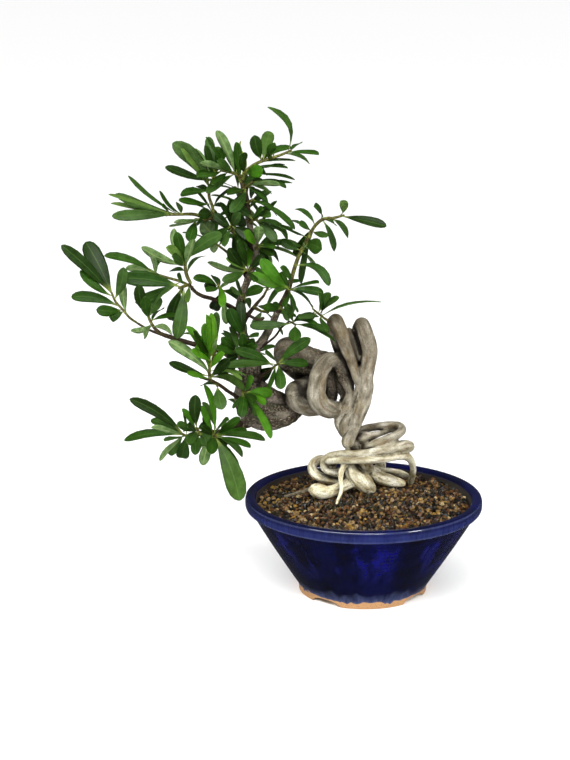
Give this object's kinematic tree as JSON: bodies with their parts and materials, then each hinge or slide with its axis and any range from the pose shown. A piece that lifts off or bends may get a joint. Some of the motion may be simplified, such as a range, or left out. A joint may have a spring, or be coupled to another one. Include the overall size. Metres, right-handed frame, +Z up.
{
  "type": "potted bonsai tree",
  "caption": "Knotted firethorn bonsai leaning out over a round glazed bowl pot of gritty soil; it stands on the pot's arched foot ring.",
  "frame": {"origin": "middle of the whole object's box in x and y, at the level the pot's foot stands on", "axes": "+Z up, -Y towards the front of the tree, +X to the right of someone facing the front; the crown leans towards -X"},
  "size_m": [0.297, 0.172, 0.3521],
  "materials": {
    "glazed_stoneware": "gloss dark blue glaze with lighter runs, bare brown clay on the foot",
    "potting_grit": "matt loose grains of fired clay and lava",
    "bark": "matt pale bark, smooth on the roots and rough and dark on the trunk",
    "foliage": "satin green leaves on brown and green stems",
    "mesh_plastic": "matt black plastic",
    "clip_wire": "satin brown anodised wire"
  },
  "bodies": {
    "root": {"drainage_mesh": "mesh_plastic", "mesh_clip_wire": "clip_wire", "pot": "glazed_stoneware", "shoot_apex_below": "foliage", "shoot_apex_left": "foliage", "shoot_apex_right": "foliage", "shoot_back_bottom": "foliage", "shoot_back_bottom_right": "foliage", "shoot_back_left": "foliage", "shoot_back_left_low": "foliage", "shoot_back_middle": "foliage", "shoot_back_middle_right": "foliage", "shoot_back_right": "foliage", "shoot_back_right_low": "foliage", "shoot_back_right_upper": "foliage", "shoot_back_top": "foliage", "shoot_back_upper": "foliage", "shoot_back_upper_left": "foliage", "shoot_bottom_left": "foliage", "shoot_bottom_middle": "foliage", "shoot_bottom_right": "foliage", "shoot_bright": "foliage", "shoot_centre": "foliage", "shoot_centre_left": "foliage", "shoot_centre_left_upper": "foliage", "shoot_centre_low_right": "foliage", "shoot_centre_right_upper": "foliage", "shoot_hanging_bright": "foliage", "shoot_knot_front": "foliage", "shoot_knot_top": "foliage", "shoot_leader_right": "foliage", "shoot_left_behind": "foliage", "shoot_left_long": "foliage", "shoot_left_middle": "foliage", "shoot_left_tip": "foliage", "shoot_left_upper": "foliage", "shoot_low_front": "foliage", "shoot_lower_upright": "foliage", "shoot_middle_dark": "foliage", "shoot_right_branch_leaves": "foliage", "shoot_right_branch_side": "foliage", "shoot_right_round": "foliage", "shoot_right_tip": "foliage", "shoot_twig_hanging": "foliage", "shoot_upper_left_hanging": "foliage", "shoot_upper_left_tip": "foliage", "shoot_upper_left_top": "foliage", "soil": "potting_grit", "trunk_and_roots": "bark"}
  },
  "joints": []
}
